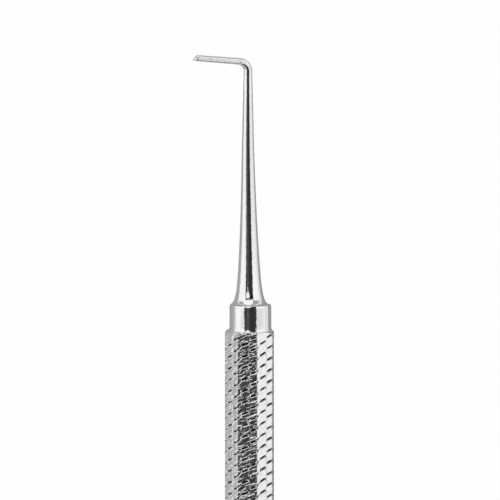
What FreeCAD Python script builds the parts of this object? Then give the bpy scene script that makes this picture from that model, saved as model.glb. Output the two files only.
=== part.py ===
import FreeCAD, Part
import Sketcher
import math
import os

# Periodontal hoe, one piece of steel lying on one flat of its eight-sided handle.
# The handle's axis runs along Y, the working end points to +Y and the blade to -X.
# Inside the model Y is 0 at the shoulder, where the handle ends and the collar
# starts, and the axis is at X 0, Z 0. The finished piece is then set down on Z 0
# with the middle of its handle over the origin. All lengths are in millimetres.

doc = FreeCAD.newDocument("periodontal_hoe")

FLATS = 8
HALF_TURN = 180 / FLATS

SIZES = [
    # handle
    ("across_flats", 6.35, "octagonal bar, flat to flat"),
    ("handle_length", 107.0, "shoulder to butt end"),
    ("shoulder_chamfer", 0.2, "turned 45 degree edge below the collar, measured at a flat"),
    ("butt_chamfer", 0.7, "turned 45 degree edge of the butt end, measured at a flat"),
    # knurl
    ("knurl_start", 0.6, "shoulder to the first pit of the right column, on the flat facing +X and up"),
    ("knurl_length", 70.5, "length covered by the rows"),
    ("knurl_pitch", 1.53, "row to row"),
    ("column_shift", 0.26, "middle of the two columns, right of the flat's centre line"),
    ("column_gap", 1.14, "column to column"),
    ("column_stagger", 0.83, "left column behind the right one"),
    ("pit_length", 1.17, "across the handle"),
    ("pit_width", 0.3, "along the handle"),
    ("pit_depth", 0.13, "below the flat"),
    ("pit_slant", 21.5, "degrees, right end raised"),
    # collar
    ("collar_diameter", 5.6, "turned ring above the shoulder"),
    ("collar_length", 3.4, "shoulder to the foot of the flare"),
    ("collar_chamfer", 0.09, "edge of the collar's top"),
    ("collar_offset", 0.12, "turned a little off the bar's axis"),
    # shank, heights from the collar's top
    ("flare_foot_diameter", 5.04, "at height 0"),
    ("flare_low_height", 0.55, ""),
    ("flare_low_diameter", 4.28, ""),
    ("flare_high_height", 1.35, ""),
    ("flare_high_diameter", 3.72, ""),
    ("neck_height", 3.2, ""),
    ("neck_diameter", 3.17, ""),
    ("lower_shank_height", 8.5, ""),
    ("lower_shank_diameter", 2.56, ""),
    ("upper_shank_height", 17.9, ""),
    ("upper_shank_diameter", 1.82, ""),
    ("shank_length", 31.4, "collar top to the start of the bend"),
    ("shank_end_diameter", 1.1, ""),
    ("shank_end_flat", 0.06, "faint flats on the shank where the blade's edges begin"),
    ("shank_lean", 0.2, "sideways shift of the shank's end, towards -X"),
    ("lean_height", 20.5, "height at which the lean is complete"),
    # blade
    ("blade_turn", 22.5, "degrees the blade points up from level, towards a corner of the bar"),
    ("bend_radius", 0.97, "centre line of the bend"),
    ("bend_angle", 85.2, "degrees from the shank's direction to the blade's"),
    ("blade_length", 6.64, "end of the bend to the cutting edge"),
    ("blade_root_width", 1.3, "just past the bend"),
    ("blade_root_thickness", 0.8, ""),
    ("blade_tip_width", 1.54, "at the cutting edge"),
    ("blade_tip_thickness", 0.6, ""),
    ("blade_root_round", 0.22, "long edges of the blade just past the bend"),
    ("blade_tip_round", 0.1, "long edges of the blade at the cutting edge"),
    ("bevel_angle", 55.0, "degrees between the end face and the inner face"),
]

sheet = doc.addObject("Spreadsheet::Sheet", "sizes")
for row, (alias, value, note) in enumerate(SIZES, start=1):
    sheet.set(f"A{row}", alias)
    sheet.set(f"B{row}", str(value))
    sheet.setAlias(f"B{row}", alias)
    sheet.set(f"C{row}", note)
doc.recompute()


def size(alias):
    return float(sheet.get(alias))


def origin_item(body, role):
    return next(item for item in body.Origin.OriginFeatures if item.Role == role)


def new_sketch(body, name, role):
    sketch = body.newObject("Sketcher::SketchObject", name)
    sketch.AttachmentSupport = [(origin_item(body, role), "")]
    sketch.MapMode = "FlatFace"
    return sketch


def place(sketch, x="0", y="0", z="0", axis=None, angle="0"):
    """Bind a sketch's offset from its plane, in the plane's own directions."""
    turn = FreeCAD.Rotation(axis or FreeCAD.Vector(0, 0, 1), 0)
    sketch.AttachmentOffset = FreeCAD.Placement(FreeCAD.Vector(), turn)
    for letter, formula in zip("xyz", (x, y, z)):
        sketch.setExpression(f"AttachmentOffset.Base.{letter}", formula)
    if axis:
        sketch.setExpression("AttachmentOffset.Rotation.Angle", angle)
    return sketch


def bind_point(sketch, edge, end, x, y):
    """Hold one end of a sketch edge at two formulas, measured from the sketch's origin."""
    for kind, axis, formula in (("DistanceX", -2, x), ("DistanceY", -1, y)):
        if formula == "0":
            sketch.addConstraint(Sketcher.Constraint("PointOnObject", edge, end, axis))
            continue
        value = float(sketch.evalExpression(formula))
        if value < 0:
            pair = (edge, end, -1, 1)
            formula = f"-({formula})"
        else:
            pair = (-1, 1, edge, end)
        number = sketch.addConstraint(Sketcher.Constraint(kind, *pair, abs(value)))
        sketch.setExpression(f"Constraints[{number}]", formula)


def point(sketch, x, y):
    return FreeCAD.Vector(float(sketch.evalExpression(x)), float(sketch.evalExpression(y)), 0)


def draw_polygon(sketch, corners):
    """Closed outline of straight edges whose corners are pairs of formulas."""
    spots = [point(sketch, x, y) for x, y in corners]
    edges = [sketch.addGeometry(Part.LineSegment(start, end))
             for start, end in zip(spots, spots[1:] + spots[:1])]
    for edge, following in zip(edges, edges[1:] + edges[:1]):
        sketch.addConstraint(Sketcher.Constraint("Coincident", edge, 2, following, 1))
    for edge, (x, y) in zip(edges, corners):
        bind_point(sketch, edge, 1, x, y)


def draw_circle(sketch, diameter):
    radius = float(sketch.evalExpression(diameter)) / 2
    circle = sketch.addGeometry(Part.Circle(FreeCAD.Vector(), FreeCAD.Vector(0, 0, 1), radius))
    sketch.addConstraint(Sketcher.Constraint("Coincident", circle, 3, -1, 1))
    number = sketch.addConstraint(Sketcher.Constraint("Diameter", circle, 2 * radius))
    sketch.setExpression(f"Constraints[{number}]", diameter)


def draw_rounded_rectangle(sketch, thickness, width, corner):
    """Rectangle about the origin, thickness along x and width along y, with four corner arcs."""
    half_x, half_y = f"({thickness}) / 2", f"({width}) / 2"
    inner_x, inner_y = f"{half_x} - {corner}", f"{half_y} - {corner}"
    radius = float(sketch.evalExpression(corner))
    arcs = []
    for quarter, (sign_x, sign_y) in enumerate([("", ""), ("-", ""), ("-", "-"), ("", "-")]):
        centre_x, centre_y = f"{sign_x}({inner_x})", f"{sign_y}({inner_y})"
        circle = Part.Circle(point(sketch, centre_x, centre_y), FreeCAD.Vector(0, 0, 1), radius)
        start = quarter * math.pi / 2
        arc = sketch.addGeometry(Part.ArcOfCircle(circle, start, start + math.pi / 2))
        bind_point(sketch, arc, 3, centre_x, centre_y)
        number = sketch.addConstraint(Sketcher.Constraint("Radius", arc, radius))
        sketch.setExpression(f"Constraints[{number}]", corner)
        arcs.append(arc)
    for arc, following in zip(arcs, arcs[1:] + arcs[:1]):
        start, end = sketch.getPoint(arc, 2), sketch.getPoint(following, 1)
        side = sketch.addGeometry(Part.LineSegment(start, end))
        sketch.addConstraint(Sketcher.Constraint("Tangent", arc, 2, side, 1))
        sketch.addConstraint(Sketcher.Constraint("Tangent", side, 2, following, 1))


def build_bar(body):
    """Octagonal bar from the shoulder to the butt end, flats up and down."""
    section = new_sketch(body, "bar_section", "XZ_Plane")
    radius = size("across_flats") / 2 / math.cos(math.radians(HALF_TURN))
    angles = [math.radians(HALF_TURN * (2 * corner + 1)) for corner in range(FLATS)]
    corners = [FreeCAD.Vector(radius * math.cos(angle), radius * math.sin(angle), 0) for angle in angles]
    sides = [section.addGeometry(Part.LineSegment(start, end))
             for start, end in zip(corners, corners[1:] + corners[:1])]
    ring = section.addGeometry(Part.Circle(FreeCAD.Vector(), FreeCAD.Vector(0, 0, 1), radius), True)
    section.addConstraint(Sketcher.Constraint("Coincident", ring, 3, -1, 1))
    number = section.addConstraint(Sketcher.Constraint("Diameter", ring, 2 * radius))
    section.setExpression(f"Constraints[{number}]", f"sizes.across_flats / cos({HALF_TURN} deg)")
    for side, following in zip(sides, sides[1:] + sides[:1]):
        section.addConstraint(Sketcher.Constraint("Coincident", side, 2, following, 1))
        section.addConstraint(Sketcher.Constraint("PointOnObject", side, 2, ring))
    for side in sides[1:]:
        section.addConstraint(Sketcher.Constraint("Equal", sides[0], side))
    section.addConstraint(Sketcher.Constraint("Vertical", sides[-1]))
    bar = body.newObject("PartDesign::Pad", "bar")
    bar.Profile = section
    bar.setExpression("Length", "sizes.handle_length")


def turn_chamfers(body):
    """Cone-shaped edges at both ends of the bar, which scallop where they meet the flats."""
    outside = "sizes.across_flats"
    for name, chamfer, end, back in (
        ("shoulder", "sizes.shoulder_chamfer", "0", "-"),
        ("butt", "sizes.butt_chamfer", "-sizes.handle_length", "+"),
    ):
        inside = f"sizes.across_flats / 2 - {chamfer}"
        depth = f"({outside} - ({inside}))"
        corners = [(inside, end), (outside, end), (outside, f"{end} {back} {depth}")]
        wedge = new_sketch(body, f"{name}_wedge", "XY_Plane")
        draw_polygon(wedge, corners)
        groove = body.newObject("PartDesign::Groove", f"{name}_chamfer")
        groove.Profile = wedge
        groove.ReferenceAxis = (origin_item(body, "Y_Axis"), [""])
        groove.Angle = 360


def build_collar(body):
    """Turned ring above the shoulder with its top edge broken."""
    section = new_sketch(body, "collar_section", "XZ_Plane")
    place(section, x="sizes.collar_offset")
    draw_circle(section, "sizes.collar_diameter")
    collar = body.newObject("PartDesign::Pad", "collar")
    collar.Profile = section
    collar.Reversed = True
    collar.setExpression("Length", "sizes.collar_length")
    doc.recompute()
    top = [number for number, edge in enumerate(collar.Shape.Edges, start=1)
           if abs(edge.BoundBox.YMin - size("collar_length")) < 1e-6]
    broken = body.newObject("PartDesign::Chamfer", "collar_edge")
    broken.Base = (collar, [f"Edge{number}" for number in top])
    broken.setExpression("Size", "sizes.collar_chamfer")


def build_shank(body):
    """Smooth flare, then a long taper of three cones, on one gently leaning centre line."""
    lean_share = "-sizes.shank_lean * {} / sizes.lean_height"
    stations = {
        "foot": ("0", "sizes.flare_foot_diameter", "0"),
        "low": ("sizes.flare_low_height", "sizes.flare_low_diameter", lean_share),
        "high": ("sizes.flare_high_height", "sizes.flare_high_diameter", lean_share),
        "neck": ("sizes.neck_height", "sizes.neck_diameter", lean_share),
        "lower": ("sizes.lower_shank_height", "sizes.lower_shank_diameter", lean_share),
        "upper": ("sizes.upper_shank_height", "sizes.upper_shank_diameter", lean_share),
        "end": ("sizes.shank_length", "sizes.shank_end_diameter", "-sizes.shank_lean"),
    }
    circles = {}
    for name, (height, diameter, shift) in stations.items():
        circles[name] = new_sketch(body, f"shank_{name}", "XZ_Plane")
        place(circles[name], x=shift.format(height), z=f"-(sizes.collar_length + {height})")
        draw_circle(circles[name], diameter)
    for feature, ruled, names in (
        ("flare", False, ("foot", "low", "high", "neck")),
        ("taper", True, ("neck", "lower", "upper", "end")),
    ):
        loft = body.newObject("PartDesign::AdditiveLoft", feature)
        loft.Profile = circles[names[0]]
        loft.Sections = [circles[name] for name in names[1:]]
        loft.Ruled = ruled


def build_blade(body):
    """Bend that flattens the round shank, straight blade, and the bevel of its cutting end."""
    path = new_sketch(body, "bend_path", "XY_Plane")
    place(path, x="-sizes.shank_lean", y="sizes.collar_length + sizes.shank_length",
          axis=FreeCAD.Vector(0, 1, 0), angle="sizes.blade_turn")
    radius, angle = size("bend_radius"), math.radians(size("bend_angle"))
    circle = Part.Circle(FreeCAD.Vector(-radius, 0, 0), FreeCAD.Vector(0, 0, 1), radius)
    arc = path.addGeometry(Part.ArcOfCircle(circle, 0, angle))
    path.addConstraint(Sketcher.Constraint("Coincident", arc, 1, -1, 1))
    path.addConstraint(Sketcher.Constraint("PointOnObject", arc, 3, -1))
    for constraint, formula in (
        (Sketcher.Constraint("Radius", arc, radius), "sizes.bend_radius"),
        (Sketcher.Constraint("Angle", arc, angle), "sizes.bend_angle * 1 deg"),
    ):
        number = path.addConstraint(constraint)
        path.setExpression(f"Constraints[{number}]", formula)

    # the sections' places in the plane of the bend, measured from its start
    turn = "(sizes.bend_angle * 1 deg)"
    root = (f"-sizes.bend_radius * (1 - cos({turn}))", f"sizes.bend_radius * sin({turn})")
    tip = (f"{root[0]} - sizes.blade_length * sin({turn})", f"{root[1]} + sizes.blade_length * cos({turn})")
    shank_end = "sizes.shank_end_diameter"
    sections = []
    for name, (x, y), turned, thickness, width, corner in (
        ("foot", ("0", "0"), "0", shank_end, shank_end, f"({shank_end} - sizes.shank_end_flat) / 2"),
        ("root", root, "sizes.bend_angle", "sizes.blade_root_thickness", "sizes.blade_root_width",
         "sizes.blade_root_round"),
        ("tip", tip, "sizes.bend_angle", "sizes.blade_tip_thickness", "sizes.blade_tip_width",
         "sizes.blade_tip_round"),
    ):
        section = body.newObject("Sketcher::SketchObject", f"blade_{name}")
        section.AttachmentSupport = [(path, "")]
        section.MapMode = "ObjectXZ"
        place(section, x=x, z=f"-({y})", axis=FreeCAD.Vector(0, 1, 0), angle=turned)
        draw_rounded_rectangle(section, thickness, width, corner)
        sections.append(section)
    bend = body.newObject("PartDesign::AdditivePipe", "bend")
    bend.Profile = sections[0]
    bend.Spine = path
    bend.Transformation = "Multisection"
    bend.Sections = [sections[1]]
    blade = body.newObject("PartDesign::AdditiveLoft", "blade")
    blade.Profile = sections[1]
    blade.Sections = [sections[2]]
    blade.Ruled = True

    thick, run_out = "sizes.blade_tip_thickness", "tan(sizes.bevel_angle * 1 deg)"
    corners = [(f"{thick} / 2 / {run_out}", thick), (f"{thick} / 2 / {run_out}", f"-{thick}"),
               (f"-1.5 * {thick} / {run_out}", f"-{thick}")]
    wedge = body.newObject("Sketcher::SketchObject", "bevel_wedge")
    wedge.AttachmentSupport = [(path, "")]
    wedge.MapMode = "ObjectXY"
    place(wedge, x=tip[0], y=tip[1], axis=FreeCAD.Vector(0, 0, 1), angle="90 + sizes.bend_angle")
    draw_polygon(wedge, corners)
    bevel = body.newObject("PartDesign::Pocket", "bevel")
    bevel.Profile = wedge
    bevel.Midplane = True
    bevel.setExpression("Length", "2 * sizes.blade_tip_width")


def pit_places():
    """Placements of the knurl's pits: two staggered columns on each flat, rising a pitch a turn."""
    pitch = size("knurl_pitch")
    rows = int(size("knurl_length") / pitch)
    into_flat = FreeCAD.Rotation(FreeCAD.Vector(1, 0, 0), -90)
    slant = FreeCAD.Rotation(FreeCAD.Vector(0, 0, 1), size("pit_slant"))
    places = []
    for flat in range(FLATS):
        face = FreeCAD.Rotation(FreeCAD.Vector(0, 1, 0), 2 * HALF_TURN * flat)
        for side, stagger in ((1, 0), (-1, size("column_stagger"))):
            across = size("column_shift") + side * size("column_gap") / 2
            first = size("knurl_start") + (stagger + (1 - flat) * pitch / FLATS) % pitch
            for row in range(rows):
                along = -first - row * pitch
                spot = face.multVec(FreeCAD.Vector(across, along, size("across_flats") / 2))
                places.append(FreeCAD.Placement(spot, face.multiply(slant).multiply(into_flat)))
    return places


def build_hoe():
    blank = doc.addObject("PartDesign::Body", "blank")
    build_bar(blank)
    turn_chamfers(blank)
    build_collar(blank)
    build_shank(blank)
    build_blade(blank)

    # one pit: a four-sided hollow that comes to a point
    pit = doc.addObject("Part::Wedge", "pit")
    for name, formula in (
        ("Xmin", "-sizes.pit_length / 2"), ("Xmax", "sizes.pit_length / 2"),
        ("Zmin", "-sizes.pit_width / 2"), ("Zmax", "sizes.pit_width / 2"),
        ("X2min", "0"), ("X2max", "0"), ("Z2min", "0"), ("Z2max", "0"),
        ("Ymin", "0"), ("Ymax", "sizes.pit_depth"),
    ):
        pit.setExpression(name, formula)
    doc.recompute()
    places = pit_places()
    knurl = doc.addObject("App::Link", "knurl")
    knurl.LinkedObject = pit
    knurl.ShowElement = False
    knurl.ElementCount = len(places)
    knurl.PlacementList = places

    hoe = doc.addObject("Part::Cut", "periodontal_hoe")
    hoe.Base = blank
    hoe.Tool = knurl
    hoe.Refine = False
    hoe.Label = "periodontal_hoe"
    hoe.setExpression("Placement.Base.y", "sizes.handle_length / 2")
    hoe.setExpression("Placement.Base.z", "sizes.across_flats / 2")
    return hoe


hoe = build_hoe()
doc.recompute()

failed = [item.Name for item in doc.Objects if {"Invalid", "Error"} & set(item.State)]
if failed:
    raise RuntimeError(f"these objects failed: {', '.join(failed)}")
if hoe.Shape.isNull() or not hoe.Shape.isValid():
    raise RuntimeError("the hoe's shape is not valid")

os.makedirs("parts", exist_ok=True)
hoe.Shape.exportStep(f"parts/{hoe.Label}.step")
box = hoe.Shape.BoundBox
print(f"{hoe.Label}: {box.XLength:.2f} x {box.YLength:.2f} x {box.ZLength:.2f} mm, "
      f"{hoe.Shape.Volume:.1f} mm3, {len(hoe.Shape.Solids)} solid")
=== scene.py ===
import bmesh
import bpy
import math
import numpy as np
from mathutils import Matrix, Vector


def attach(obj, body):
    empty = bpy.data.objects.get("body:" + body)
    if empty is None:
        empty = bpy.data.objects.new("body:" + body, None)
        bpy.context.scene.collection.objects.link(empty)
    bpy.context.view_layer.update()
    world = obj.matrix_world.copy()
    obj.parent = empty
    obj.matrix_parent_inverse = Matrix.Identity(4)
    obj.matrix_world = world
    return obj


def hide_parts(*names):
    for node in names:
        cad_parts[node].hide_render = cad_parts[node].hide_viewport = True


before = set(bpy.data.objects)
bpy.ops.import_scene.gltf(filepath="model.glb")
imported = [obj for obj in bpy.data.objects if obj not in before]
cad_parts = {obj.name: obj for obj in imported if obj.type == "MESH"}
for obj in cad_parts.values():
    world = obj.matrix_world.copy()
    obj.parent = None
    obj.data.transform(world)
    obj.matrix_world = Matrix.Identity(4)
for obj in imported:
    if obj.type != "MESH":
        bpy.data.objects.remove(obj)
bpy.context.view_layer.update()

# Periodontal hoe lying on one flat of its handle, seen from above. Shapes are worked out
# in millimetres and go into the meshes in metres.

millimetre = 0.001
perMetre = 1000.0
tiny = 1e-6                     # millimetres; closer than this is the same place
mergeWithin = 0.0008            # millimetres; points closer than this become one


def makeMesh(name, points, faces, sharpAngle):
    # points in millimetres; faces as lists of point numbers; doubles merged
    mesh = bpy.data.meshes.new(name)
    mesh.from_pydata((np.asarray(points) * millimetre).tolist(), [], faces)
    work = bmesh.new()
    work.from_mesh(mesh)
    bmesh.ops.remove_doubles(work, verts=work.verts, dist=mergeWithin * millimetre)
    bmesh.ops.dissolve_degenerate(work, edges=work.edges, dist=mergeWithin * millimetre * 0.5)
    bmesh.ops.recalc_face_normals(work, faces=work.faces)
    openEdges = sum(1 for edge in work.edges if len(edge.link_faces) != 2)
    work.to_mesh(mesh)
    work.free()
    mesh.shade_smooth()
    mesh.set_sharp_from_angle(angle=math.radians(sharpAngle))
    piece = bpy.data.objects.new(name, mesh)
    bpy.context.scene.collection.objects.link(piece)
    mesh.calc_loop_triangles()
    print(f"{name}: {len(mesh.vertices)} points, {len(mesh.loop_triangles)} triangles, {openEdges} open edges")
    return piece


def gridQuads(rows, count, wrap):
    # faces between neighbouring rows of points, which are numbered row by row: this spot, the next one,
    # and the two above them; wrap joins a row's last spot to its first
    row, spot = np.meshgrid(np.arange(rows - 1), np.arange(count if wrap else count - 1), indexing="ij")
    following = (spot + 1) % count
    quads = np.stack([row * count + spot, row * count + following,
                      (row + 1) * count + following, (row + 1) * count + spot], axis=-1)
    return quads.reshape(-1, 4)


# knurled handle

handle = {
    "acrossFlats": 6.35,
    "shoulderAt": 53.5,         # along the handle, where the collar starts
    "buttAt": -53.5,
    "shoulderChamfer": 0.13,
    "buttChamfer": 0.7,
    "cornerRound": 0.055,       # how far each corner's rounding reaches onto a flat
    "cornerBulge": 1.0022,      # its middle's distance from the axis, over its edges'
    "cornerSink": 1.3,          # its middle's depth at a notch, over its edges'
    "endSteps": 12,             # points across a flat where a turned end cuts it
    "sharpAngle": 12,
}

knurl = {
    "rows": 46,
    "pitch": 1.53,              # row to row, and the helix climbs one pitch a turn
    "start": 0.6,               # shoulder to the first pit of the right column, on flat 1
    "pitSlant": 21.5,           # degrees, right end raised
    "cellClimb": 0.625,         # of a cell's edge across a flat, in pitches: an eighth and three sixths
    "columnEdge": 0.26,         # between the two columns, right of the flat's middle
    "stepsAcross": 4,
    "stepsAlong": 6,
    # round a pit: foot and top of its raised lip, mouth, floor; each with its half length as a share
    # of the column's, its half width and its depth
    "rings": ((1.0, 0.40, 0.02), (0.96, 0.22, 0.0), (0.90, 0.15, 0.03), (0.72, 0.045, 0.14)),
    "ringRound": 0.4,           # 0 leaves them as square as the cell, 1 would pinch their corners
    # side of the flat, pits' middle across it, half length, and how far behind the right column
    "rightColumn": {"side": 1, "middle": 0.79, "halfLength": 0.46, "behind": 0.0},
    "leftColumn": {"side": -1, "middle": -0.33, "halfLength": 0.57, "behind": 0.83},
    "flatDepths": (1.0, 1.0, 0.9, 1.0, 0.95, 1.0, 0.85, 0.7),   # share of a pit's depth: rolled unevenly
    "flatWaves": (1.0, 0.2, 0.4, 0.5, 0.4, 0.5, 0.35, 0.4),     # how wavy the rolling left each flat
    "notchDepth": 0.1,          # where a right pit runs out over the corner
    "nickDepth": 0.03,          # a third of a pitch either side of it
    "notchHalf": 0.24,
    "notchClear": 0.8,          # from the shoulder to the first notch, at least
    "uneven": (0.16, 0.13, 0.015, 0.02),    # spread of the pits' depth, width, place across and along
    "trim": 0.02,               # kept between a pit's rings where the shoulder's cone cuts them
    "fadeRows": 1.5,            # rows below the last one, where the wavy skin has faded out
    "fadeRate": 2,              # share of the waves gained in a millimetre above that
    "seed": 11,
}

axisHeight = handle["acrossFlats"] / 2
halfCorner = math.radians(22.5)     # round the bar, from a flat's middle to its corner
flatAngles = np.radians(45.0) * np.arange(8)    # 0 is the top flat, then towards +X
flatNormals = np.stack([np.sin(flatAngles), 0 * flatAngles, np.cos(flatAngles)], axis=1)
flatAcross = np.stack([np.cos(flatAngles), 0 * flatAngles, -np.sin(flatAngles)], axis=1)
halfFlat = axisHeight * math.tan(halfCorner) - handle["cornerRound"]
cornerAngles = flatAngles + halfCorner
cornerOut = np.stack([np.sin(cornerAngles), 0 * cornerAngles, np.cos(cornerAngles)], axis=1)
cornerRadius = np.hypot(axisHeight, halfFlat) * handle["cornerBulge"]
barEnds = ((handle["shoulderAt"], handle["shoulderChamfer"], 1),
           (handle["buttAt"], handle["buttChamfer"], -1))

right, left = knurl["rightColumn"], knurl["leftColumn"]
pitch = knurl["pitch"]
alongStep = pitch / knurl["stepsAlong"]
slope = knurl["cellClimb"] * pitch / (2 * halfFlat)
leftLift = 2 * alongStep + slope * (right["middle"] - left["middle"]) - left["behind"]


def onFlat(flat, across, along, rise):
    # axis + (flat's distance + rise) x outward normal + across x sideways direction + along x Y
    across, along, rise = np.broadcast_arrays(across, along, rise)
    points = (axisHeight + rise)[..., None] * flatNormals[flat] + across[..., None] * flatAcross[flat]
    points[..., 1] += along
    points[..., 2] += axisHeight
    return points


def onCorner(corner, along, rise):
    # axis + (corner's distance + rise) x outward direction + along x Y
    points = (cornerRadius + rise)[:, None] * cornerOut[corner]
    points[:, 1] += along
    points[:, 2] += axisHeight
    return points


def turnedEnd(end, chamfer, direction, radius):
    # where a 45 degree cone cuts the bar: end - direction x (radius - the cone's inner radius)
    return end - direction * (radius - (axisHeight - chamfer))


def shoulderCut(radius):
    # where the shoulder's cone cuts the bar at this distance from the axis
    return turnedEnd(*barEnds[0], radius)


def firstPit(flat, column):
    # shoulder - start - (how far behind + an eighth of a pitch for each flat back from flat 1),
    # the bracket taken within one pitch
    behind = (column["behind"] + (1 - flat) * pitch / 8) % pitch
    return handle["shoulderAt"] - knurl["start"] - behind


def cellBase(flat, column):
    # middle of a column's first cell, followed along its climb to the flat's centre line
    lift = leftLift if column is left else 0
    return firstPit(flat, column) - lift - slope * column["middle"]


def columnEnds(flat, column):
    # highest and lowest station of a column's outer edge
    top = cellBase(flat, column) + column["side"] * slope * halfFlat + pitch / 2
    return top, top - knurl["rows"] * pitch


def cornerNodes(corner):
    # stations of the cells' points along one corner of the bar, all the way down the knurl
    ends = np.array([columnEnds(corner, right), columnEnds((corner + 1) % 8, left)])
    steps = np.arange(-2 * knurl["stepsAlong"], (knurl["rows"] + 2) * knurl["stepsAlong"])
    nodes = cellBase(corner, right) + slope * halfFlat - alongStep * steps
    return nodes[(nodes < ends[:, 0].max() + tiny) & (nodes > ends[:, 1].min() - tiny)]


def notchRise(corner, along):
    # - depth x (1 - distance to the nearest notch / half length), where a right pit's line meets the corner,
    # and the same for the shallow nicks a third of a pitch from it; they fade out at the shoulder's cut
    start = cellBase(corner, right) + slope * halfFlat
    first = 0 if start < handle["shoulderAt"] - knurl["notchClear"] else 1
    row = np.clip(np.round((start - along) / pitch), first, knurl["rows"] - 1)
    off = np.abs(along - (start - row * pitch))
    notch, nick = (np.clip(1 - np.abs(gap) / knurl["notchHalf"], 0, None) for gap in (off, off - pitch / 3))
    cut = shoulderCut(math.hypot(axisHeight, halfFlat))
    fade = np.clip((cut - along) / knurl["notchHalf"], 0, 1)
    return -(knurl["notchDepth"] * notch + knurl["nickDepth"] * nick) * fade


def edgeRise(flat, across, along):
    # the corners' notches at points on a flat's two edges, nothing elsewhere
    atRight = np.where(np.abs(across - halfFlat) < tiny, notchRise(flat, along), 0)
    return atRight + np.where(np.abs(across + halfFlat) < tiny, notchRise((flat - 1) % 8, along), 0)


def trimmed(across, along, ring):
    # no higher than the shoulder's cone, less a little for each ring inwards
    return np.minimum(along, shoulderCut(np.hypot(axisHeight, across)) - knurl["trim"] * (ring + 1))


def cellLoop(start, end):
    # once round a cell, anticlockwise: a from -1 to 1 across and b from -1 to 1 along
    across = np.linspace(-1, 1, knurl["stepsAcross"] + 1)
    along = np.linspace(-1, 1, knurl["stepsAlong"] + 1)
    a = np.concatenate([across[:-1], np.ones(len(along) - 1), across[:0:-1], -np.ones(len(along) - 1)])
    b = np.concatenate([-np.ones(len(across) - 1), along[:-1], np.ones(len(across) - 1), along[:0:-1]])
    u = start + (end - start) * (a + 1) / 2
    return a, b, u, slope * u + b * pitch / 2


def columnCells(flat, column, start, end, chance):
    # every row's rings: the cell's edge, then the pit's rings, which are the loop rounded by
    # x = a sqrt(1 - r b^2), y = b sqrt(1 - r a^2), scaled, turned by the slant and moved to the pit
    a, b, u, v = cellLoop(start, end)
    ringRound = knurl["ringRound"]
    x, y = a * np.sqrt(1 - ringRound * b * b), b * np.sqrt(1 - ringRound * a * a)
    slant = math.radians(knurl["pitSlant"])
    drop = np.arange(knurl["rows"])[:, None] * pitch
    spreads = np.array(knurl["uneven"])[:, None, None]
    deeper, wider, beside, beyond = chance.uniform(-1, 1, (4, knurl["rows"], 1)) * spreads
    across, along = [u + 0 * drop], [trimmed(u, v + cellBase(flat, column) - drop, 0)]
    rise = [edgeRise(flat, u, along[0])]
    for ring, (share, halfWidth, depth) in enumerate(knurl["rings"], start=1):
        px, py = x * share * column["halfLength"], y * halfWidth * (1 + wider)
        across.append(column["middle"] + beside + px * math.cos(slant) - py * math.sin(slant))
        pitLine = firstPit(flat, column) - drop + beyond + px * math.sin(slant) + py * math.cos(slant)
        along.append(trimmed(across[-1], pitLine, ring))
        rise.append(-depth * (1 + deeper) * knurl["flatDepths"][flat] + 0 * py)
    return onFlat(flat, *(np.stack(block, axis=1) for block in (across, along, rise))).reshape(-1, 3)


def cellFaces(cells, rings, loop):
    # quads between neighbouring rings of every cell, and one face for each pit's floor
    start = np.arange(cells)[:, None] * rings * loop
    quads = start[:, :, None] + gridQuads(rings, loop, True)
    floors = start + (rings - 1) * loop + np.arange(loop)
    return quads.reshape(-1, 4).tolist() + floors.tolist()


def plainStretch(flat, end, chamfer, direction):
    # the outline of a flat's plain part: out along the cells' stepped edge to the left corner, along the
    # corner's points, across at the turned end's cut, and back by the right corner and the cells' edge
    edge = knurl["columnEdge"]
    inner = np.linspace(-halfFlat, edge, knurl["stepsAcross"] + 1)
    outer = np.linspace(edge, halfFlat, knurl["stepsAcross"] + 1)
    shift = pitch / 2 if direction > 0 else pitch / 2 - knurl["rows"] * pitch
    leftEdge = cellBase(flat, left) + slope * inner + shift
    rightEdge = cellBase(flat, right) + slope * outer + shift
    gap = leftEdge[-1] - rightEdge[0]
    step = rightEdge[0] + math.copysign(alongStep, gap) * np.arange(1, round(abs(gap) / alongStep))
    leftNodes, rightNodes = cornerNodes((flat - 1) % 8), cornerNodes(flat)
    leftSide = leftNodes[(leftNodes - leftEdge[0]) * direction > tiny]
    rightSide = rightNodes[(rightNodes - rightEdge[-1]) * direction > tiny]
    leftSide = leftSide[np.argsort(leftSide * direction)]
    rightSide = rightSide[np.argsort(-rightSide * direction)]

    acrossOut = np.append(inner[::-1], np.full(len(leftSide), -halfFlat))
    acrossEnd = np.linspace(-halfFlat, halfFlat, handle["endSteps"] + 1)
    acrossBack = np.concatenate([np.full(len(rightSide), halfFlat), outer[::-1], np.full(len(step), edge)])
    alongOut = trimmed(acrossOut, np.append(leftEdge[::-1], leftSide), 0)
    alongEnd = turnedEnd(end, chamfer, direction, np.hypot(axisHeight, acrossEnd))
    alongBack = trimmed(acrossBack, np.concatenate([rightSide, rightEdge[::-1], step]), 0)
    u = np.concatenate([acrossOut, acrossEnd, acrossBack])
    v = np.concatenate([alongOut, alongEnd, alongBack])
    return onFlat(flat, u, v, edgeRise(flat, u, v))


def roundedCorner(corner):
    # two narrow strips between a flat's edge, the corner's middle and the next flat's edge, with points
    # at both turned ends and at the cells' stations between them
    nodes = trimmed(halfFlat, cornerNodes(corner), 0)
    shoulder, butt = barEnds
    beside, middle = (np.concatenate([[turnedEnd(*shoulder, radius)], nodes, [turnedEnd(*butt, radius)]])
                      for radius in (np.hypot(axisHeight, halfFlat), cornerRadius))
    rise = notchRise(corner, beside)
    rows = np.stack([onFlat(corner, halfFlat, beside, rise),
                     onCorner(corner, middle, rise * handle["cornerSink"]),
                     onFlat((corner + 1) % 8, -halfFlat, beside, rise)])
    return rows.reshape(-1, 3), gridQuads(3, len(beside), False).tolist()


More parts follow.
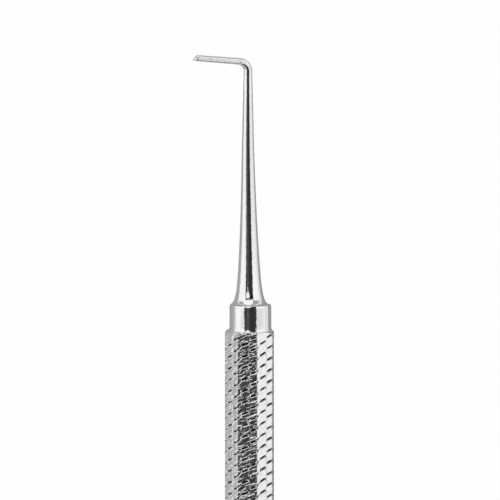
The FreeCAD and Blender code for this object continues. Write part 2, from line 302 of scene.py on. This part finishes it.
def turnedFace(end, chamfer, direction):
    # a cone from the scalloped cut round the bar in to the end face, and the face itself: the cut's
    # points, and inner radius x (sine, cosine) of their way round
    across = np.linspace(-halfFlat, halfFlat, handle["endSteps"] + 1)
    flatCut = turnedEnd(end, chamfer, direction, np.hypot(axisHeight, across))
    cornerCut = np.array([turnedEnd(end, chamfer, direction, cornerRadius)])
    rim = []
    for flat in range(8):
        rim.append(onFlat(flat, across, flatCut, 0))
        rim.append(onCorner(flat, cornerCut, np.zeros(1)))
    rim = np.concatenate(rim)
    count = len(rim)
    angle = np.arctan2(rim[:, 0], rim[:, 2] - axisHeight)
    inside = axisHeight - chamfer
    face = np.stack([inside * np.sin(angle), np.full_like(angle, end), inside * np.cos(angle) + axisHeight],
                    axis=1)
    return np.concatenate([rim, face]), gridQuads(2, count, True).tolist() + [list(range(count, 2 * count))]


def buildHandle():
    # each flat's knurled cells, its plain stretches, the rounded corners and the turned ends; neighbours
    # repeat the points of their shared edge, which are then merged
    points, faces = [], []

    def add(newPoints, newFaces):
        start = sum(len(block) for block in points)
        points.append(newPoints)
        faces.extend([[number + start for number in face] for face in newFaces])

    rings = len(knurl["rings"]) + 1
    cells = cellFaces(knurl["rows"], rings, 2 * (knurl["stepsAcross"] + knurl["stepsAlong"]))
    chance = np.random.default_rng(knurl["seed"])
    for flat in range(8):
        add(columnCells(flat, right, knurl["columnEdge"], halfFlat, chance), cells)
        add(columnCells(flat, left, -halfFlat, knurl["columnEdge"], chance), cells)
    for flat in range(8):
        for barEnd in barEnds:
            outline = plainStretch(flat, *barEnd)
            add(outline, [list(range(len(outline)))])
    for corner in range(8):
        add(*roundedCorner(corner))
    for barEnd in barEnds:
        add(*turnedFace(*barEnd))
    return makeMesh("handle", np.concatenate(points), faces, handle["sharpAngle"])


handlePiece = buildHandle()


# collar, shank and blade, one turned and bent piece: rings of a section carried along a path

workingEnd = {
    "ringPoints": 100,
    "sharpAngle": 30,
    "quarterSteps": 7,          # points on a quarter-round edge
    "collarRadius": 2.78,
    "collarLength": 3.4,
    "collarEdge": 0.07,
    "collarCrown": (0.05, 0.12),    # the side leans in near its top: by, over a reach of
    "collarFillet": (0.08, 0.25),   # and flares out to the shoulder: by, over a reach of
    "collarOffset": 0.12,
    "collarClose": (0.7, 15),   # closer rings near both ends: over this height, how many
    "sunkStart": 0.4,           # length hidden inside the handle
    "shankLength": 31.0,
    "shankRings": (84, 1.6),    # how many, and the power that crowds them to the flare
    "lean": 0.2,
    "leanHeight": 20.5,
    "swells": ((0.09, 0.1), (0.42, 0.5), (0.32, 1.6)),  # the flare's foot: by, over a reach of
    # the shank without its flare: height, radius
    "taper": ((1.1, 1.70), (3.2, 1.51), (5.9, 1.39), (8.5, 1.26), (11.2, 1.12), (13.9, 1.01), (16.5, 0.92),
              (19.2, 0.855), (21.9, 0.80), (24.5, 0.735), (27.2, 0.65), (31.0, 0.55)),
    "bladeTurn": 22.5,          # degrees the blade points up from level
    "bendRadius": 1.3,
    "bendAngle": 85.4,
    "bendRings": 31,
    "bladeLength": 6.33,
    "bladeRings": (0.84, 14),   # up to this share of its length, how many
    "root": (0.44, 0.65, 0.27),     # half thickness, half width, edge round
    "tip": (0.40, 0.77, 0.24),
    "bevelAngle": 55.0,
    "endRound": 0.16,           # between the blade's sides and its bevelled end
    "endSupport": 0.05,         # one more ring this far before that rounding
}

bladeTurn, bendTurn = math.radians(workingEnd["bladeTurn"]), math.radians(workingEnd["bendAngle"])
inward = np.array([-math.cos(bladeTurn), 0, math.sin(bladeTurn)])   # the side that the blade bends to
sideways = np.array([math.sin(bladeTurn), 0, math.cos(bladeTurn)])
upward = np.array([0, 1.0, 0])
bladeDirection = math.cos(bendTurn) * upward + math.sin(bendTurn) * inward
quarterTurn = np.linspace(0, math.pi / 2, workingEnd["quarterSteps"])
# half thickness and half width inside the round edges, and the round
rootSection, tipSection = (np.array([thick - edge, wide - edge, edge])
                           for thick, wide, edge in (workingEnd["root"], workingEnd["tip"]))


def turnedRings(centre, heights, radii):
    # circles about an upright axis: a section that is all round edge
    centres = np.stack([centre + 0 * heights, heights, 0 * heights], axis=1)
    return centres, 0 * heights, np.stack([0 * radii, 0 * radii, radii], axis=1)


def collarRings():
    # radius - crown x exp(-(top - height) / reach) + fillet x exp(-height / reach), then a
    # quarter-round edge; the flat top is the step in to the shank
    length, edge = workingEnd["collarLength"], workingEnd["collarEdge"]
    closeTo, closeCount = workingEnd["collarClose"]
    heights = np.concatenate([[-workingEnd["sunkStart"]], np.linspace(0, closeTo, closeCount), [length / 2],
                              length - edge - np.linspace(closeTo, 0, closeCount)])
    (crown, crownReach), (fillet, filletReach) = workingEnd["collarCrown"], workingEnd["collarFillet"]
    radii = (workingEnd["collarRadius"] - crown * np.exp((heights - length + edge) / crownReach)
             + fillet * np.exp(-np.clip(heights, 0, None) / filletReach))
    edgeHeights = length - edge + edge * np.sin(quarterTurn[1:])
    edgeRadii = radii[-1] - edge + edge * np.cos(quarterTurn[1:])
    return turnedRings(workingEnd["collarOffset"], np.append(heights, edgeHeights), np.append(radii, edgeRadii))


def shankRings():
    # quartic fitted to the measured radii + the sum of swell x exp(-height / reach), on an axis that
    # leans by a share of its height
    count, crowding = workingEnd["shankRings"]
    measuredHeights, measuredRadii = np.array(workingEnd["taper"]).T
    heights = workingEnd["shankLength"] * np.linspace(0, 1, count) ** crowding
    radii = np.polyval(np.polyfit(measuredHeights, measuredRadii, 4), heights)
    for swell, reach in workingEnd["swells"]:
        radii = radii + swell * np.exp(-heights / reach)
    radii[-1] = measuredRadii[-1]
    lean = -workingEnd["lean"] * np.clip(heights / workingEnd["leanHeight"], 0, 1)
    return turnedRings(lean, workingEnd["collarLength"] + heights, radii)


def bendRings(start, radius):
    # start + bend's radius x ((1 - cos) x inward + sin x upward), while the shank's circle becomes the
    # blade's rectangle with rounded edges
    turned = bendTurn * np.linspace(0, 1, workingEnd["bendRings"])[1:]
    share = turned / turned[-1]
    share = (share * share * (3 - 2 * share))[:, None]
    arc = (1 - np.cos(turned))[:, None] * inward + np.sin(turned)[:, None] * upward
    circle = np.array([0, 0, radius])
    return start + workingEnd["bendRadius"] * arc, turned, (1 - share) * circle + share * rootSection


def bladeRings(start):
    # straight, thinner and wider towards its end, where its sides are rounded over by
    # width - round x (1 - cos), at length - round x (1 - sin)
    length, endRound = workingEnd["bladeLength"], workingEnd["endRound"]
    plainShare, count = workingEnd["bladeRings"]
    endInset = np.append(0, endRound * (1 - np.cos(quarterTurn)))
    endReach = np.append(endRound + workingEnd["endSupport"], endRound * (1 - np.sin(quarterTurn)))
    reach = np.append(length * np.linspace(0, plainShare, count)[1:], length - endReach)
    share = (reach / reach[-1])[:, None]
    section = (1 - share) * rootSection + share * tipSection
    section[-len(endInset):, 1] -= endInset
    return start + reach[:, None] * bladeDirection, np.full_like(reach, bendTurn), section


def buildWorkingEnd():
    # centre + p x inner direction + q x sideways direction, where (p, q) = (sign x inner half thickness,
    # sign x inner half width) + round x (cos, sin)
    shank = shankRings()
    bend = bendRings(shank[0][-1], shank[2][-1, 2])
    stretches = collarRings(), shank, bend, bladeRings(bend[0][-1])
    centres, turned, section = (np.concatenate(block) for block in zip(*stretches))
    perQuadrant = workingEnd["ringPoints"] // 4
    quadrant = np.repeat(np.arange(4), perQuadrant)
    angle = (np.tile(np.linspace(0, 1, perQuadrant), 4) + quadrant) * math.pi / 2
    signP, signQ = np.array([1, -1, -1, 1])[quadrant], np.array([1, 1, -1, -1])[quadrant]
    p = signP * section[:, :1] + section[:, 2:] * np.cos(angle)
    q = signQ * section[:, 1:2] + section[:, 2:] * np.sin(angle)
    innerSide = np.cos(turned)[:, None] * inward - np.sin(turned)[:, None] * upward
    points = centres[:, None] + p[..., None] * innerSide[:, None] + q[..., None] * sideways

    # bevel: the end's rings slide back along the blade, more the further they are from the inner face
    endRings = len(quarterTurn) + 1
    slide = (p[-endRings:] - workingEnd["tip"][0]) / math.tan(math.radians(workingEnd["bevelAngle"]))
    points[-endRings:] += slide[..., None] * bladeDirection

    rings, count = points.shape[:2]
    points = points + np.array([0, handle["shoulderAt"], axisHeight])
    caps = [list(range(count)), list(range((rings - 1) * count, rings * count))]
    return makeMesh("workingEnd", points.reshape(-1, 3), gridQuads(rings, count, True).tolist() + caps,
                    workingEnd["sharpAngle"])


workingPiece = buildWorkingEnd()


# finishes: polished steel, knurled on the handle and turned on the working end

finish = {
    "brightColour": (0.80, 0.80, 0.81),
    "smokyColour": (0.62, 0.62, 0.63),
    "tones": (0.9, 0.14),       # share of the bright colour: at least, and what the clouds add
    "residueAndShadeColour": (0.045, 0.043, 0.04),  # dark matter left in the pits, and painted shade in them
    "steelRoughness": 0.09,
    "roughnessSpread": 0.05,
    "knurlRoughness": 0.12,
    "residueRoughness": 0.42,
    "residueAndShadeDepth": (0.04, 0.075),  # millimetres; clean above the first, dark below the second: residue and painted shade
    # noises: stretch across and along the handle, scale, detail
    "clouds": (1.0, 0.35, 0.9, 3.0),
    "turning": (0.35, 16.0, 1.0, 2.0),
    "buffing": (9.0, 0.5, 1.0, 2.0),
    "dents": (1.0, 1.0, 2.2, 2.0),
    "turningShare": 0.6,        # of the marks' relief; buffing is the rest
    "marksBump": 0.004,         # millimetres
    "dentBump": 0.016,
    "knurlBump": 0.21,
    "waves": (1.0, 2.3, 1.0, 0.5),  # of the rolled skin: a millimetre across and along, detail, swirl
}


class Shade:
    # one socket of a node tree; sums, products and the rest add the nodes they need
    def __init__(self, tree, socket):
        self.tree, self.socket = tree, socket

    def other(self, kind, settings=None, values=None, output=0):
        # a node of another kind: its settings first, then its sockets' values or links
        node = self.tree.nodes.new(kind)
        for key, value in (settings or {}).items():
            if key == "stops":
                ramp = node.color_ramp
                while len(ramp.elements) < len(value):
                    ramp.elements.new(0.5)
                for element, (position, colour) in zip(ramp.elements, value):
                    element.position = position
                    element.color = colour
            else:
                setattr(node, key, value)
        for key, value in (values or {}).items():
            if isinstance(value, Shade):
                self.tree.links.new(value.socket, node.inputs[key])
            else:
                node.inputs[key].default_value = value
        return Shade(self.tree, node.outputs[output] if len(node.outputs) else None)

    def maths(self, operation, *values):
        return self.other("ShaderNodeMath", {"operation": operation}, dict(enumerate(values)))

    def __add__(self, value):
        return self.maths("ADD", self, value)

    def __radd__(self, value):
        return self.maths("ADD", value, self)

    def __sub__(self, value):
        return self.maths("SUBTRACT", self, value)

    def __rsub__(self, value):
        return self.maths("SUBTRACT", value, self)

    def __mul__(self, value):
        return self.maths("MULTIPLY", self, value)

    def __rmul__(self, value):
        return self.maths("MULTIPLY", value, self)

    def __truediv__(self, value):
        return self.maths("DIVIDE", self, value)

    def __rtruediv__(self, value):
        return self.maths("DIVIDE", value, self)

    def most(self, value):
        return self.maths("MAXIMUM", self, value)

    def least(self, value):
        return self.maths("MINIMUM", self, value)

    def size(self):
        return self.maths("ABSOLUTE", self)

    def ease(self, start, end):
        # 0 up to start, 1 from end, smooth between
        return self.other("ShaderNodeMapRange", {"interpolation_type": "SMOOTHSTEP"},
                          {"Value": self, "From Min": start, "From Max": end})

    def past(self, place, soft):
        # 0 before this place, 1 past it, smooth over soft either side of it
        return self.ease(place - soft, place + soft)

    def noise(self, place, scale, detail=2.0, swirl=0.0):
        values = {"Vector": place, "Scale": scale, "Detail": detail, "Distortion": swirl}
        return self.other("ShaderNodeTexNoise", {"noise_dimensions": "3D"}, values, output="Fac")

    def combine(self, x, y, z):
        return self.other("ShaderNodeCombineXYZ", values={"X": x, "Y": y, "Z": z})

    def split(self):
        node = self.tree.nodes.new("ShaderNodeSeparateXYZ")
        self.tree.links.new(self.socket, node.inputs[0])
        return [Shade(self.tree, output) for output in node.outputs]

    def mix(self, first, second):
        # from the first colour to the second, by this value
        values = {"Factor": self, 6: first, 7: second}
        return self.other("ShaderNodeMix", {"data_type": "RGBA"}, values, output=2)


def newTree(owner):
    # the owner's nodes, cleared
    owner.use_nodes = True
    owner.node_tree.nodes.clear()
    return Shade(owner.node_tree, None)


def steelMaterial(name, knurled):
    # colour = smoky to bright by the clouds; roughness = steel's + spread x (clouds + turning marks - 1);
    # relief = marks + dents, in the pits' reach also the rolled skin's waves; residue and painted shade by
    # depth
    material = bpy.data.materials.new(name)
    sheet = newTree(material)
    x, y, z = (part * perMetre for part in sheet.other("ShaderNodeTexCoord", output="Object").split())

    def grain(across, along, scale, detail):
        # noise stretched across and along the handle
        return sheet.noise(sheet.combine(x * across, y * along, z * across), scale, detail)

    clouds, turning = grain(*finish["clouds"]), grain(*finish["turning"])
    roughness = finish["steelRoughness"] + finish["roughnessSpread"] * (clouds + turning - 1.0)
    toneFrom, toneSpread = finish["tones"]
    tone = (toneFrom + toneSpread * clouds).least(1.0)
    colour = tone.mix((*finish["smokyColour"], 1), (*finish["brightColour"], 1))
    turningShare = finish["turningShare"]
    marks = turningShare * turning + (1 - turningShare) * grain(*finish["buffing"])
    relief = marks * finish["marksBump"] + grain(*finish["dents"]) * finish["dentBump"]
    if knurled:
        depth = sheet.other("ShaderNodeAttribute", {"attribute_name": "pitDepth"}, output="Fac")
        rolled = sheet.other("ShaderNodeAttribute", {"attribute_name": "rolled"}, output="Fac")
        # residue and painted shade: the pits turn darker and rougher with their depth
        residueAndShade = depth.ease(*finish["residueAndShadeDepth"])
        colour = residueAndShade.mix(colour, (*finish["residueAndShadeColour"], 1))
        roughness = roughness + rolled * (finish["knurlRoughness"] - finish["steelRoughness"])
        roughness = roughness + residueAndShade * (finish["residueRoughness"] - finish["knurlRoughness"])
        # the rolled skin's waves lie along the pits: noise over the way round, in millimetres and parted
        # at a corner underneath, and over the height above the pits' climb
        height = z - axisHeight
        wayRound = axisHeight * sheet.maths("ARCTAN2", x * math.cos(halfCorner) - height * math.sin(halfCorner),
                                            x * math.sin(halfCorner) + height * math.cos(halfCorner))
        across, along, detail, swirl = finish["waves"]
        skin = sheet.combine(wayRound * across, (y - slope * wayRound) * along, 0.0)
        relief = relief + rolled * sheet.noise(skin, 1.0, detail, swirl) * finish["knurlBump"]
    bump = sheet.other("ShaderNodeBump",
                       values={"Height": relief * millimetre, "Strength": 1.0, "Distance": 1.0})
    steel = sheet.other("ShaderNodeBsdfPrincipled",
                        values={"Base Color": colour, "Metallic": 1.0, "Roughness": roughness, "Normal": bump})
    sheet.other("ShaderNodeOutputMaterial", values={"Surface": steel})
    return material


def pitAttributes(piece):
    # depth under the nearest flat's plane: the bar's half width - the largest dot product with
    # a flat's normal; rolled is that flat's waviness over the knurled length and fades out beyond it
    mesh = piece.data
    points = np.empty(len(mesh.vertices) * 3, np.float32)
    mesh.vertices.foreach_get("co", points)
    points = points.reshape(-1, 3) / millimetre - np.array([0, 0, axisHeight])
    reach = points @ flatNormals.T
    depth = axisHeight - reach.max(axis=1)
    cut = shoulderCut(np.hypot(points[:, 0], points[:, 2]))
    bottom = handle["shoulderAt"] - knurl["start"] - (knurl["rows"] + knurl["fadeRows"]) * pitch
    inside = (points[:, 1] < cut - knurl["trim"] / 2) & (points[:, 1] > bottom)
    waves = np.array(knurl["flatWaves"])[reach.argmax(axis=1)]
    rolled = np.clip((points[:, 1] - bottom) * knurl["fadeRate"], 0, 1) * waves
    for name, values in (("pitDepth", np.where(inside, depth, 0)), ("rolled", rolled)):
        layer = mesh.attributes.new(name, "FLOAT", "POINT")
        layer.data.foreach_set("value", values.astype(np.float32))


pitAttributes(handlePiece)
handlePiece.data.materials.append(steelMaterial("knurledSteel", True))
workingPiece.data.materials.append(steelMaterial("turnedSteel", False))
for piece in (handlePiece, workingPiece):
    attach(piece, "root")
    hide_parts("periodontal_hoe")
print("steel finishes are on")


# studio: degrees round the handle are counted from the card's middle, positive to the right, and
# degrees along it from level, positive towards the working end

studio = {
    "yaw": 5.0,                 # degrees the camera stands to +X of straight above
    "pitch": 4.5,               # and towards the working end
    "distance": 0.45,
    "lens": 244.0,
    "sensor": 36.0,
    "clipStart": 0.01,
    "lookAt": (0.00007, 0.06417, 0.003175),
    # floor: metres, and what a camera ray sees of its white
    "floorHalf": 1.5,
    "floorLevel": -0.00002,
    "floorColour": (0.82, 0.82, 0.82),
    "floorWhite": 0.985,
    # its mirrored image is darker beside the handle: edge in millimetres, whiteness beyond it
    "shadeLeft": (-14.0, 0.12),
    "shadeRight": (9.0, 0.85),
    "shadeBlade": (-9.0, 84.0, 0.8),    # left of the first and past the second along the handle
    "shadeBack": (44.0, 22.0, 0.9),     # right of it, before the first along the handle, out to the
                                        # second: share of black
    "shadeSoft": 3.0,
    "shadeBladeSoft": 2.0,
    # dark card above the handle
    "cardHalfWidth": 33.4,
    "cardEnd": 34.0,            # how far it reaches towards the working end
    "cardSoft": (0.8, 2.0),     # its sides' edges and its end's
    "cardTone": 0.037,
    "cardDarkest": 0.01,
    "cardMottle": (0.09, 22.0, 3.0),    # spread, scale, detail
    "cardDeep": (17.0, 23.0, 0.8),      # it darkens towards its end: from, to, by
    "glare": (0.07, 1.0, 12.0),     # faint streak all along it, in line with the gap: tone, fades from, to
    # gap in the card, a drop with its point towards the butt
    "notchAt": -14.0,           # degrees round
    "notchFrom": 8.8,           # and along, its point
    "notchTo": 29.0,
    "notchSpread": 1.55,        # degrees round, either side, for each degree along
    "notchRound": 0.028,
    "notchSoft": 1.0,
    # pale wall at the working end: where it rises along, tone
    "wallRise": (-1.0, 3.0),
    "wallTone": 1.14,
    # grey above the wall, outside of these degrees round: lower edge, left, right, tone
    "edgeShade": (42.0, -62.0, 32.0, 0.42),
    "edgeSoft": (5.0, 4.0),
    "edgeDip": (-10.0, 0.12),   # its lower edge drops away from here, by this for each degree round
    # dark patches of the room towards the butt: degrees along, from and to, then round, from and to
    "darkPatches": ((-58.0, -31.5, -190.0, -58.0), (-58.0, -31.5, 58.0, 190.0), (-74.0, -41.0, 18.0, 58.0)),
    "darkSoft": (5.0, 4.0),
    "darkTone": 0.06,
    # brightness of the room round the handle: degrees, tone
    "roomTones": (
        (-180, 0.5), (-113, 0.5), (-108, 0.42), (-101, 1.1), (-93, 1.15), (-89, 0.6), (-84, 1.2), (-60, 1.15),
        (-50, 0.95), (0, 0.95), (34, 0.84), (48, 0.88), (64, 0.9), (74, 0.94), (80, 1.05), (87, 1.24),
        (98, 1.24), (110, 0.95), (125, 0.85), (131, 0.5), (180, 0.5),
    ),
}


def darkCard(along, around, offNotch):
    # inside its edges and outside its gap, where (along - from) x spread > distance from its middle
    # and, for its round far end, along + round x distance^2 < to
    sideSoft, endSoft = studio["cardSoft"]
    spread = (along - studio["notchFrom"]) * studio["notchSpread"] - offNotch
    rounded = along + offNotch * offNotch * studio["notchRound"]
    notch = spread.past(0.0, studio["notchSoft"]) * (1 - rounded.past(studio["notchTo"], studio["notchSoft"]))
    betweenSides = 1 - around.size().past(studio["cardHalfWidth"], sideSoft)
    return betweenSides * (1 - along.past(studio["cardEnd"], endSoft)) * (1 - notch)


def cardColour(sheet, place, along, offNotch):
    # tone + mottling + a faint streak in line with the gap, darker towards the card's end
    mottle, scale, detail = studio["cardMottle"]
    glareTone, glareFrom, glareTo = studio["glare"]
    deepFrom, deepTo, deeper = studio["cardDeep"]
    streak = (1 - offNotch.ease(glareFrom, glareTo)) * glareTone
    tone = sheet.noise(place, scale, detail) * mottle + streak + (studio["cardTone"] - 0.5 * mottle)
    tone = tone.most(studio["cardDarkest"]) * (1 - along.ease(deepFrom, deepTo) * deeper)
    return sheet.combine(tone, tone, tone)


def buildWorld():
    # around = arctan2 of the ray's parts to the right and to the card, along = arcsine of its part along
    # the handle; the room's tones are covered by the wall, the grey above it, the dark patches and the card
    world = bpy.data.worlds.new("studio")
    bpy.context.scene.world = world
    sheet = newTree(world)
    degrees = 180 / math.pi
    dx, dy, dz = sheet.other("ShaderNodeTexCoord", output="Generated").split()
    yaw = math.radians(studio["yaw"])
    toRight = dx * math.cos(yaw) - dz * math.sin(yaw)
    toCard = dx * math.sin(yaw) + dz * math.cos(yaw)
    around = sheet.maths("ARCTAN2", toRight, toCard) * degrees
    along = sheet.maths("ARCSINE", dy) * degrees

    stops = [((angle + 180) / 360, (tone, tone, tone, 1)) for angle, tone in studio["roomTones"]]
    room = sheet.other("ShaderNodeValToRGB", {"stops": stops}, {"Fac": (around + 180.0) / 360.0})
    room = along.ease(*studio["wallRise"]).mix(room, (*[studio["wallTone"]] * 3, 1))

    above, leftOf, rightOf, edgeTone = studio["edgeShade"]
    dipFrom, dip = studio["edgeDip"]
    aboveSoft, besideSoft = studio["edgeSoft"]
    middle = around.past(leftOf, besideSoft) * (1 - around.past(rightOf, besideSoft))
    dipped = along + (around - dipFrom).size() * dip
    room = (dipped.past(above, aboveSoft) * (1 - middle)).mix(room, (*[edgeTone] * 3, 1))

    soft, frontSoft = studio["darkSoft"]
    for start, stop, leftEnd, rightEnd in studio["darkPatches"]:
        patch = along.past(start, soft) * (1 - along.past(stop, frontSoft))
        patch = patch * around.past(leftEnd, soft) * (1 - around.past(rightEnd, soft))
        room = patch.mix(room, (*[studio["darkTone"]] * 3, 1))

    offNotch = (around - studio["notchAt"]).size()
    card = cardColour(sheet, sheet.combine(dx, dy, dz), along, offNotch)
    room = darkCard(along, around, offNotch).mix(room, card)
    seen = sheet.other("ShaderNodeLightPath", output="Is Camera Ray")
    light = sheet.other("ShaderNodeBackground", values={"Color": room, "Strength": 1.0})
    white = sheet.other("ShaderNodeBackground", values={"Color": (1, 1, 1, 1), "Strength": 1.0})
    both = sheet.other("ShaderNodeMixShader", values={0: seen, 1: light, 2: white})
    sheet.other("ShaderNodeOutputWorld", values={"Surface": both})


def buildFloor():
    # pale paper under white light: the camera sees nearly pure white, a mirrored ray sees white only
    # beyond the shaded strips beside the handle
    half, level = studio["floorHalf"], studio["floorLevel"]
    mesh = bpy.data.meshes.new("floor")
    mesh.from_pydata([(-half, -half, level), (half, -half, level), (half, half, level), (-half, half, level)],
                     [], [(0, 1, 2, 3)])
    floor = bpy.data.objects.new("floor", mesh)
    bpy.context.scene.collection.objects.link(floor)
    material = bpy.data.materials.new("paleFloor")
    sheet = newTree(material)
    white = sheet.other("ShaderNodeEmission", values={"Color": (1, 1, 1, 1), "Strength": 1.0})
    seen, mirrored, through = (sheet.other("ShaderNodeLightPath", output=kind)
                               for kind in ("Is Camera Ray", "Is Glossy Ray", "Is Transmission Ray"))
    place = sheet.other("ShaderNodeTexCoord", output="Object").split()
    x, y = (part * perMetre for part in place[:2])
    soft, bladeSoft = studio["shadeSoft"], studio["shadeBladeSoft"]
    leftEdge, leftWhite = studio["shadeLeft"]
    rightEdge, rightWhite = studio["shadeRight"]
    bladeEdge, bladeFrom, bladeWhite = studio["shadeBlade"]
    backEdge, backTo, backDark = studio["shadeBack"]
    toRight = (x - rightEdge).ease(0.0, soft)
    toBack = (backEdge - y).ease(0.0, soft) * (backTo - x).ease(0.0, soft)
    beyond = leftWhite * (leftEdge - x).ease(0.0, soft) + rightWhite * toRight * (1 - toBack)
    besideBlade = bladeWhite * (bladeEdge - x).ease(0.0, bladeSoft) * (y - bladeFrom).ease(0.0, soft)
    share = (seen + through) * studio["floorWhite"] + mirrored * beyond.most(besideBlade)
    colour = (mirrored * toRight * toBack * backDark).mix((*studio["floorColour"], 1), (0.0, 0.0, 0.0, 1))
    paper = sheet.other("ShaderNodeBsdfDiffuse", values={"Color": colour})
    both = sheet.other("ShaderNodeMixShader", values={0: share, 1: paper, 2: white})
    sheet.other("ShaderNodeOutputMaterial", values={"Surface": both})
    mesh.materials.append(material)


def buildCamera():
    # back = (sin yaw cos pitch, sin pitch, cos yaw cos pitch); the camera stands that way from what it
    # looks at, with the handle's axis upright in the picture
    yaw, pitch = math.radians(studio["yaw"]), math.radians(studio["pitch"])
    back = Vector((math.sin(yaw) * math.cos(pitch), math.sin(pitch), math.cos(yaw) * math.cos(pitch)))
    camera = bpy.data.objects.new("camera", bpy.data.cameras.new("camera"))
    bpy.context.scene.collection.objects.link(camera)
    camera.data.lens = studio["lens"]
    camera.data.sensor_width = studio["sensor"]
    camera.data.clip_start = studio["clipStart"]
    camera.location = Vector(studio["lookAt"]) + back * studio["distance"]
    toSide = Vector((0, 1, 0)).cross(back).normalized()
    turn = np.array([toSide, back.cross(toSide), back]).T
    camera.rotation_mode = "QUATERNION"
    camera.rotation_quaternion = Matrix(turn.tolist()).to_quaternion()
    bpy.context.scene.camera = camera


buildWorld()
buildFloor()
buildCamera()
bpy.context.scene.view_settings.view_transform = "Standard"
print("stage is set")
